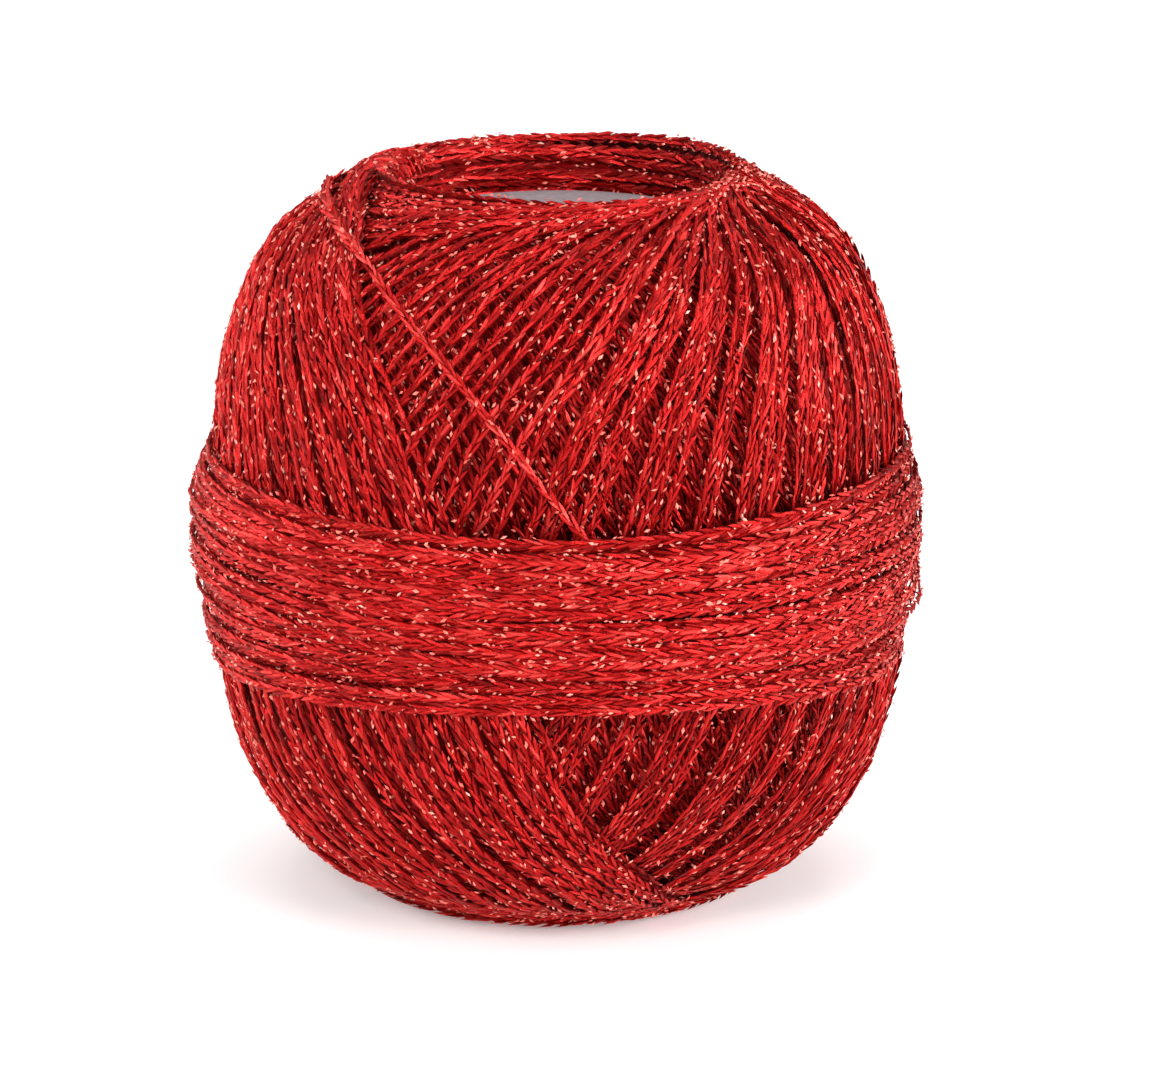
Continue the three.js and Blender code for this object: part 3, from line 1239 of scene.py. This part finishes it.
@dataclass
class Rim:
    """Turns along the top rim, the folds over it at the left, the rope, the strand across the front."""

    section: Section
    fans: Fans
    rings: Rings
    wrap_drops: tuple[float, ...] = (0.0, 0.5, 1.1, 1.9, 2.9, 4.0, 5.1, 6.3)
    wrap_ends: Pair = (6.0, -96.0)
    wrap_step: float = 1.5
    wrap_start: float = 0.1
    wrap_span: float = 60.0
    wrap_curves: Pair = (1.2, 0.25)
    wrap_depth: float = 0.42
    wrap_duck: float = 0.2
    wrap_sink: float = 0.05
    # Painted light: the turns along the crest get a slightly lighter tone, against the shade where they face
    # into the hollow
    wrap_tone: float = 0.62
    fold_starts: tuple[float, ...] = (
        *(-13.0, -17.5, -22.0, -27.0, -32.0, -37.5),
        *(-43.0, -49.0, -55.0, -61.0, -67.0),
    )
    fold_crest: float = -76.0
    fold_spread: float = 4.2
    fold_slant: float = 5.0
    fold_reach: Pair = (-2.4, 9.0)
    fold_step: float = 0.25
    fold_shift: float = 4.0
    fold_settling: Pair = (1.0, 8.5)
    bulge_place: float = 1.2
    bulge_length: float = 2.8
    fold_rise: float = 0.8
    fold_fall: float = 0.045
    fold_alternation: float = 0.12
    fold_seat: float = 0.45
    fold_tone: float = 0.58
    fold_layers: tuple[tuple[float, float], ...] = ((180.0, 1.0), (180.0, 0.4), (0.0, 0.4))
    rope_strands: int = 2
    rope_radius: float = 0.40
    rope_twist: float = 8.0
    rope_places: int = 120
    rope_slimming: float = 0.5
    rope_slim: Pair = (0.55, 1.0)
    rope_tone: float = 0.6
    crossing_steps: int = 12
    # Painted light: the raised crossing strand gets a lighter tone than the other turns
    crossing_tone: float = 0.78

    def wraps(self) -> list[Strand]:
        """Lays the turns that run along the crest of the rim, from one meeting place to beyond the other.

        Returns:
            The turns.
        """
        strands = []
        meeting = self.fans.meeting
        first, last = self.wrap_ends
        for turned in (0.0, 180.0):
            for number, drop in enumerate(self.wrap_drops):
                angle = np.arange(meeting + first, last, -self.wrap_step)
                away = np.clip((meeting - angle) / (meeting + self.wrap_span), 0, None)
                power = self.wrap_curves[0] + self.wrap_curves[1] * number
                distance = drop * away**power + self.wrap_start
                depth = self.wrap_depth + self.wrap_duck * (number % 2) + self.wrap_sink * number
                place, normal = self.section.read(distance, -depth)
                strands.append(Strand(Path.on_ball(angle + turned, place, normal), self.wrap_tone))
        return strands

    def folds(self) -> list[Strand]:
        """Lays the turns of the left fan where they pass over the rim in a thick bundle, on both sides.

        Each layer of folds is turned round the ball by the first value of its pair. The second says how
        thick it lies, and how far it is shifted against the others.

        Returns:
            The folds.
        """
        strands = []
        distance = np.arange(*self.fold_reach, self.fold_step)
        bulge = np.exp(-(((distance - self.bulge_place) / self.bulge_length) ** 2))
        settled = smoothstep(distance, *self.fold_settling)
        for turned, share in self.fold_layers:
            for number, start in enumerate(self.fold_starts):
                fan = self.fans.angle(start + 180 + self.fold_shift * share, distance) - 180
                crest = self.fold_crest - self.fold_spread * (number + 0.5 * share)
                crest = crest + self.fold_slant * distance
                angle = settled * fan + (1 - settled) * crest + turned - 180
                rise = self.fold_rise - self.fold_fall * number + self.fold_alternation * (number % 2)
                place, normal = self.section.read(distance, share * rise * bulge - self.fold_seat)
                strands.append(Strand(Path.on_ball(angle, place, normal), self.fold_tone))
        return strands

    def rope_turns(self) -> list[Strand]:
        """Lays strands twisted together in a rope that binds the folds at the left.

        Returns:
            The rope's strands.
        """
        line = smooth_line(np.array(ROPE), CURVE_STEPS)
        place, normal = self.section.read(line[:, 1], line[:, 2])
        middle = Path.on_ball(line[:, 0], place, normal)
        stations = np.linspace(0.0, middle.length, self.rope_places)
        points, _, sideways, outward = middle.frames(stations)
        slim = 1 - self.rope_slimming * smoothstep(stations / middle.length, *self.rope_slim)
        strands = []
        for number in range(self.rope_strands):
            turn = 2 * math.pi * (stations / self.rope_twist + number / self.rope_strands)
            across, out = np.cos(turn)[:, None], np.sin(turn)[:, None]
            shift = (across * sideways + out * outward) * (self.rope_radius * slim)[:, None]
            strands.append(Strand(Path(points + shift, outward), self.rope_tone))
        return strands

    def crossing_strand(self) -> Strand:
        """Lays the strand that crosses the front from the left folds to the belt.

        Returns:
            The strand.
        """
        line = smooth_line(np.array(CROSSING), self.crossing_steps)
        place, normal = self.section.read(self.section.distance_at(line[:, 1]), line[:, 2])
        return Strand(Path.on_ball(line[:, 0], place, normal), self.crossing_tone)

    def build(self, work: YarnWork) -> list[bpy.types.Object]:
        """Makes the rim's pieces.

        Args:
            work: Maker of the pieces of yarn.

        Returns:
            The pieces.
        """
        strands = self.rings.top() + self.wraps() + self.folds() + self.rope_turns()
        return [
            work.piece("rim", strands),
            work.backing("rim_backing", strands),
            work.piece("foot_rings", self.rings.foot(), Detail.PLAIN),
            work.piece("crossing_strand", [self.crossing_strand()]),
        ]


@dataclass
class Hollow:
    """Turns that show on the wall of the hollow, from below. They climb left and right in turn."""

    radius: float = 11.0
    outer_step: float = 0.35
    low: float = 2.5
    high: float = 52.8
    turns: int = 46
    climb: float = 2.6
    step: float = 1.5
    # Painted shade: the wall's turns get a lower tone, for the shade inside the hollow
    tone: float = 0.4

    def build(self, work: YarnWork) -> bpy.types.Object:
        """Makes the wall.

        Args:
            work: Maker of the pieces of yarn.

        Returns:
            The piece.
        """
        strands = []
        height = np.arange(self.low, self.high, self.step)
        for number in range(self.turns):
            odd = number % 2
            angle = number * 360 / self.turns + height * self.climb * (1 if odd else -1)
            place = np.column_stack([self.radius + self.outer_step * odd + 0 * height, height])
            normal = np.tile([-1.0, 0.0], (len(height), 1))
            strands.append(Strand(Path.on_ball(angle, place, normal), self.tone))
        return work.piece("hollow_wall", strands, Detail.PLAIN, glinting=False)


@dataclass
class Core:
    """Inner turns of the ball, in the dark under the turns that show."""

    section: Section
    depth: float = 3.1
    rim_depth: float = 1.25
    rim_reach: Pair = (1.5, 9.0)
    ends: Pair = (0.4, 0.5)
    steps: int = 96
    rows: int = 34
    recess_radius: float = 14.1
    recess_top: float = HEIGHT - 1.9
    ledge: float = 53.2
    bore_radius: float = 11.7
    mouth_radius: float = 12.2
    mouth_heights: Pair = (2.6, 4.0)
    merge: float = 1e-6

    def profile(self) -> np.ndarray:
        """Draws the closed outline of the core.

        Returns:
            Radius and height of its points, a row each.
        """
        distance = np.linspace(self.ends[0], self.section.lower_rim - self.ends[1], self.rows)
        inward = np.minimum(distance, self.section.lower_rim - distance)
        depth = self.rim_depth + (self.depth - self.rim_depth) * smoothstep(inward, *self.rim_reach)
        inner = [
            (self.mouth_radius, self.mouth_heights[0]),
            (self.bore_radius, self.mouth_heights[1]),
            (self.bore_radius, self.ledge),
            (self.recess_radius, self.ledge),
            (self.recess_radius, self.recess_top),
        ]
        return np.vstack([self.section.read(distance, -depth)[0], inner])

    def build(self, material: bpy.types.Material) -> bpy.types.Object:
        """Draws the outline, spins it round the axis and closes it.

        Args:
            material: Finish of the core.

        Returns:
            The piece.
        """
        outline = self.profile() * MM
        select_none()
        bpy.ops.mesh.primitive_plane_add(size=MM, location=(0.0, 0.0, 0.0))
        core = bpy.context.object
        core.name = core.data.name = "core"
        bpy.ops.object.mode_set(mode="EDIT")
        bpy.ops.mesh.select_all(action="SELECT")
        bpy.ops.mesh.merge(type="CENTER")
        bpy.ops.transform.translate(value=(outline[0, 0], 0.0, outline[0, 1]))
        for across, up in np.diff(np.vstack([outline, outline[:1]]), axis=0):
            bpy.ops.mesh.extrude_region_move(TRANSFORM_OT_translate={"value": (across, 0.0, up)})
        bpy.ops.mesh.select_all(action="SELECT")
        bpy.ops.mesh.remove_doubles(threshold=self.merge)
        bpy.ops.mesh.spin(steps=self.steps, angle=2 * math.pi, center=(0.0, 0.0, 0.0), axis=(0.0, 0.0, 1.0))
        bpy.ops.mesh.select_all(action="SELECT")
        bpy.ops.mesh.remove_doubles(threshold=self.merge)
        bpy.ops.mesh.normals_make_consistent(inside=False)
        bpy.ops.object.mode_set(mode="OBJECT")
        bpy.ops.object.shade_smooth()
        core.data.materials.append(material)
        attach(core, BODY)
        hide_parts("wound_ball")
        LOG.info("core: %d faces", len(core.data.polygons))
        return core


@dataclass
class Nodes:
    """Material under construction, with its nodes and its shader."""

    name: str
    material: bpy.types.Material = field(init=False)
    tree: bpy.types.NodeTree = field(init=False)
    shader: bpy.types.Node = field(init=False)

    def __post_init__(self) -> None:
        """Makes the material."""
        self.material = bpy.data.materials.new(self.name)
        self.material.use_nodes = True
        self.tree = self.material.node_tree
        self.shader = self.tree.nodes["Principled BSDF"]

    def add(self, kind: str, **settings: object) -> bpy.types.Node:
        """Adds a node and sets its inputs by name, or its own settings.

        Args:
            kind: Type of the node.
            **settings: Values of inputs or of settings, with underscores for spaces.

        Returns:
            The node.
        """
        node = self.tree.nodes.new(kind)
        for key, value in settings.items():
            socket = node.inputs.get(key.replace("_", " "))
            if socket is not None:
                socket.default_value = value
            else:
                setattr(node, key, value)
        return node

    def shade(self, **values: object) -> None:
        """Sets inputs of the shader, with underscores for spaces."""
        for key, value in values.items():
            self.shader.inputs[key.replace("_", " ")].default_value = value

    def attribute(self, name: str) -> bpy.types.Node:
        """Reads an attribute of the mesh."""
        return self.add("ShaderNodeAttribute", attribute_name=name)

    def noise(self, vector: bpy.types.NodeSocket, scale: float, detail: float) -> bpy.types.NodeSocket:
        """Adds a noise pattern.

        Args:
            vector: Coordinates that it reads.
            scale: Its scale.
            detail: Its detail.

        Returns:
            Its value.
        """
        node = self.add("ShaderNodeTexNoise", Scale=scale, Detail=detail)
        self.tree.links.new(vector, node.inputs["Vector"])
        return node.outputs["Fac"]

    def object_noise(self, scale: float, detail: float) -> bpy.types.NodeSocket:
        """Adds a noise pattern on Object coordinates."""
        return self.noise(self.add("ShaderNodeTexCoord").outputs["Object"], scale, detail)

    def spread(self, value: bpy.types.NodeSocket, width: float) -> bpy.types.NodeSocket:
        """Brings a pattern of 0 to 1 to a width about zero.

        Args:
            value: The pattern.
            width: The width.

        Returns:
            Its value.
        """
        node = self.add("ShaderNodeMath", operation="MULTIPLY_ADD")
        self.tree.links.new(value, node.inputs[0])
        node.inputs[1].default_value = width
        node.inputs[2].default_value = -width / 2
        return node.outputs["Value"]

    def total(self, *values: bpy.types.NodeSocket) -> bpy.types.NodeSocket:
        """Adds up values.

        Args:
            *values: The values.

        Returns:
            Their sum.
        """
        result = values[0]
        for value in values[1:]:
            node = self.add("ShaderNodeMath", operation="ADD")
            self.tree.links.new(result, node.inputs[0])
            self.tree.links.new(value, node.inputs[1])
            result = node.outputs["Value"]
        return result

    def colour(self, value: bpy.types.NodeSocket, *stops: tuple[float, Three]) -> None:
        """Colours the shader by a ramp.

        Args:
            value: What the ramp reads.
            *stops: Place and colour of each stop.
        """
        node = self.add("ShaderNodeValToRGB")
        ramp = node.color_ramp
        while len(ramp.elements) < len(stops):
            ramp.elements.new(0.5)
        for element, (place, colour) in zip(ramp.elements, stops):
            element.position = place
            element.color = (*colour, 1.0)
        self.tree.links.new(value, node.inputs["Fac"])
        self.tree.links.new(node.outputs["Color"], self.shader.inputs["Base Color"])

    def bump(self, height: bpy.types.NodeSocket, strength: float, distance: float) -> None:
        """Roughens the surface.

        Args:
            height: Pattern of the bumps.
            strength: Their strength.
            distance: Their height in metres.
        """
        node = self.add("ShaderNodeBump", Strength=strength, Distance=distance)
        self.tree.links.new(height, node.inputs["Height"])
        self.tree.links.new(node.outputs["Normal"], self.shader.inputs["Normal"])


@dataclass(frozen=True)
class YarnFinish:
    """Red knitted metallic yarn: each leg has its own tone, with streaks, fine fibres and a pale sheen."""

    dark: Three = (0.075, 0.0002, 0.0004)
    deep: Three = (0.260, 0.0010, 0.0014)
    middle: Three = (0.470, 0.0060, 0.0064)
    light: Three = (0.700, 0.0600, 0.0500)
    stops: Four = (0.0, 0.3, 0.58, 1.0)
    edge: Three = (1.0, 0.50, 0.46)
    metal: float = 0.66
    roughness: float = 0.34
    sheen: float = 0.05
    sheen_roughness: float = 0.35
    sheen_tint: Three = (1.0, 0.62, 0.60)
    patch_scale: float = 420.0
    streak_scale: Three = (7.5, 7.5, 0.9)
    tone_width: float = 0.5
    fibre_scale: float = 7000.0
    fibre_strength: float = 0.55
    fibre_height: float = 0.00008

    def material(self) -> bpy.types.Material:
        """Builds the material.

        Returns:
            The material.
        """
        nodes = Nodes("yarn_red")
        patch = nodes.object_noise(self.patch_scale, 2.0)
        stretch = nodes.add("ShaderNodeMapping", Scale=self.streak_scale)
        nodes.tree.links.new(nodes.attribute("leg_place").outputs["Vector"], stretch.inputs["Vector"])
        streak = nodes.noise(stretch.outputs["Vector"], 1.0, 2.0)
        patterns = (nodes.spread(pattern, self.tone_width) for pattern in (patch, streak))
        tone = nodes.total(nodes.attribute("tone").outputs["Fac"], *patterns)
        nodes.colour(tone, *zip(self.stops, (self.dark, self.deep, self.middle, self.light)))
        nodes.bump(nodes.object_noise(self.fibre_scale, 3.0), self.fibre_strength, self.fibre_height)
        nodes.shade(
            Metallic=self.metal,
            Roughness=self.roughness,
            Specular_Tint=(*self.edge, 1.0),
            Sheen_Weight=self.sheen,
            Sheen_Roughness=self.sheen_roughness,
            Sheen_Tint=(*self.sheen_tint, 1.0),
        )
        return nodes.material


@dataclass(frozen=True)
class GlintFinish:
    """Metallic thread where it shows between the legs, from deep red to pale peach: the thread's own red,
    with its paler tones painted glints, as the shader is only a little metallic.
    """

    # Painted glint: the peach and pale colours stand in for the shine of the metal
    red: Three = (0.82, 0.10, 0.07)
    peach: Three = (0.95, 0.29, 0.21)
    pale: Three = (1.0, 0.60, 0.51)
    roughness: float = 0.38
    metal: float = 0.15

    def material(self) -> bpy.types.Material:
        """Builds the material.

        Returns:
            The material.
        """
        nodes = Nodes("metal_thread_painted_glint")
        tone = nodes.attribute("tone").outputs["Fac"]
        nodes.colour(tone, (0.0, self.red), (0.55, self.peach), (1.0, self.pale))
        nodes.shade(Metallic=self.metal, Roughness=self.roughness)
        return nodes.material


@dataclass(frozen=True)
class CoreFinish:
    """Yarn in the dark between the turns."""

    # Painted shade: the core is coloured far darker than the turns, for the shade between them
    colour: Three = (0.110, 0.0016, 0.0020)
    brightening: float = 2.6
    roughness: float = 0.9
    shine: float = 0.1

    def material(self) -> bpy.types.Material:
        """Builds the material.

        Returns:
            The material.
        """
        nodes = Nodes("yarn_shadow")
        brighter = tuple(self.brightening * part for part in self.colour)
        nodes.colour(nodes.object_noise(900.0, 3.0), (0.35, self.colour), (0.7, brighter))
        nodes.shade(Roughness=self.roughness, Specular_IOR_Level=self.shine)
        return nodes.material


@dataclass(frozen=True)
class CardFinish:
    """Plain card with a faint grain; its grey is darkened with painted shade for the hollow it lies in."""

    # Painted shade: both colours are darkened for the shade in the hollow
    shade: Three = (0.205, 0.165, 0.178)
    pale: Three = (0.270, 0.222, 0.238)
    roughness: float = 0.75
    grain_strength: float = 0.2
    grain_height: float = 0.00004

    def material(self) -> bpy.types.Material:
        """Builds the material.

        Returns:
            The material.
        """
        nodes = Nodes("card_shaded_grey")
        grain = nodes.object_noise(1600.0, 4.0)
        nodes.colour(grain, (0.3, self.shade), (0.7, self.pale))
        nodes.bump(grain, self.grain_strength, self.grain_height)
        nodes.shade(Roughness=self.roughness)
        return nodes.material


@dataclass(frozen=True)
class FloorFinish:
    """Plain pale floor."""

    colour: Three = (0.86, 0.86, 0.86)
    roughness: float = 0.9
    glow: float = 0.22

    def material(self) -> bpy.types.Material:
        """Builds the material.

        Returns:
            The material.
        """
        nodes = Nodes("floor_pale")
        nodes.shade(Base_Color=(*self.colour, 1.0), Roughness=self.roughness)
        nodes.shade(Emission_Color=(1.0, 1.0, 1.0, 1.0), Emission_Strength=self.glow)
        return nodes.material


@dataclass(frozen=True)
class SoftLight:
    """Square soft light: its place and the length of its side in metres, and its power in watts."""

    name: str
    place: Three
    size: float
    power: float

    def add(self, aim: Three) -> None:
        """Adds the light.

        Args:
            aim: Place that it is aimed at, in metres.
        """
        data = bpy.data.lights.new(self.name, "AREA")
        data.size = self.size
        data.energy = self.power
        light = bpy.data.objects.new(self.name, data)
        light.location = self.place
        across, along, up = np.array(aim) - np.array(self.place)
        flat = math.hypot(across, along)
        light.rotation_euler = (math.atan2(flat, -up), 0.0, math.atan2(along, across) - math.pi / 2)
        bpy.context.scene.collection.objects.link(light)


@dataclass
class Studio:
    """Pale floor, soft lights and the camera at the photograph's angle."""

    frame_width: int = 1150
    frame_height: int = 1065
    centre_px: Pair = (557.7, 521.6)
    focal_px: float = 4907.0
    distance: float = 400.0
    elevation: float = 14.88
    sensor: float = 36.0
    nearest: float = 0.01
    floor_size: float = 6.0
    surroundings: float = 0.42
    lights: tuple[SoftLight, ...] = (
        SoftLight("key", (-0.28, -0.52, 0.42), 0.28, 2.5),
        SoftLight("fill", (0.48, -0.42, 0.26), 0.30, 3.8),
        SoftLight("top", (0.0, 0.45, 1.80), 1.60, 19.0),
        SoftLight("left", (-0.50, 0.10, 0.14), 0.24, 1.4),
        SoftLight("right", (0.50, 0.10, 0.14), 0.24, 1.4),
    )

    def camera(self) -> bpy.types.Object:
        """Adds the camera, looking at the middle of the ball.

        Returns:
            The camera.
        """
        data = bpy.data.cameras.new("camera")
        data.sensor_width = self.sensor
        data.lens = self.focal_px / self.frame_width * self.sensor
        data.shift_x = (self.frame_width / 2 - self.centre_px[0]) / self.frame_width
        data.shift_y = (self.centre_px[1] - self.frame_height / 2) / self.frame_width
        data.clip_start = self.nearest
        camera = bpy.data.objects.new("camera", data)
        tilt = math.radians(self.elevation)
        camera.location = (
            0.0,
            -self.distance * MM * math.cos(tilt),
            (HEIGHT / 2 + self.distance * math.sin(tilt)) * MM,
        )
        camera.rotation_euler = (math.pi / 2 - tilt, 0.0, 0.0)
        bpy.context.scene.collection.objects.link(camera)
        bpy.context.scene.camera = camera
        return camera

    def build(self) -> None:
        """Adds the floor, the lights, the world and the camera."""
        select_none()
        bpy.ops.mesh.primitive_plane_add(size=self.floor_size, location=(0.0, 0.0, 0.0))
        floor = bpy.context.object
        floor.name = "floor"
        floor.data.materials.append(FloorFinish().material())
        world = bpy.data.worlds.new("studio")
        world.use_nodes = True
        background = world.node_tree.nodes["Background"]
        background.inputs["Color"].default_value = (1.0, 1.0, 1.0, 1.0)
        background.inputs["Strength"].default_value = self.surroundings
        bpy.context.scene.world = world
        for light in self.lights:
            light.add((0.0, 0.0, HEIGHT / 2 * MM))
        bpy.context.scene.view_settings.view_transform = "Standard"
        self.camera()


@dataclass(frozen=True)
class Card:
    """The card disc, which shows with its own solid."""

    finish: CardFinish = CardFinish()

    def dress(self) -> bpy.types.Object:
        """Gives the disc its finish.

        Returns:
            The disc.
        """
        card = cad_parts["card_disc"]
        card.data.materials.clear()
        card.data.materials.append(self.finish.material())
        LOG.info("card_disc: %d triangles", len(card.data.polygons))
        return card


def main() -> None:
    """Builds the ball, the card and the studio."""
    logging.basicConfig(level=logging.INFO, format="%(name)s %(message)s")
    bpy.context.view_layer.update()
    Studio().build()
    rng = np.random.default_rng(SEED)
    section = Section()
    chain = Chain(rng)
    work = YarnWork(chain, chain.shapes(), YarnFinish().material(), GlintFinish().material())
    belt = Belt(section, rng)
    Core(section).build(CoreFinish().material())
    fans = Fans(section, rng)
    fans.build(work, belt)
    belt.build(work)
    Rim(section, fans, Rings(rng)).build(work)
    Hollow().build(work)
    work.glint_piece("glints")
    Card().dress()


if __name__ == "__main__":
    main()
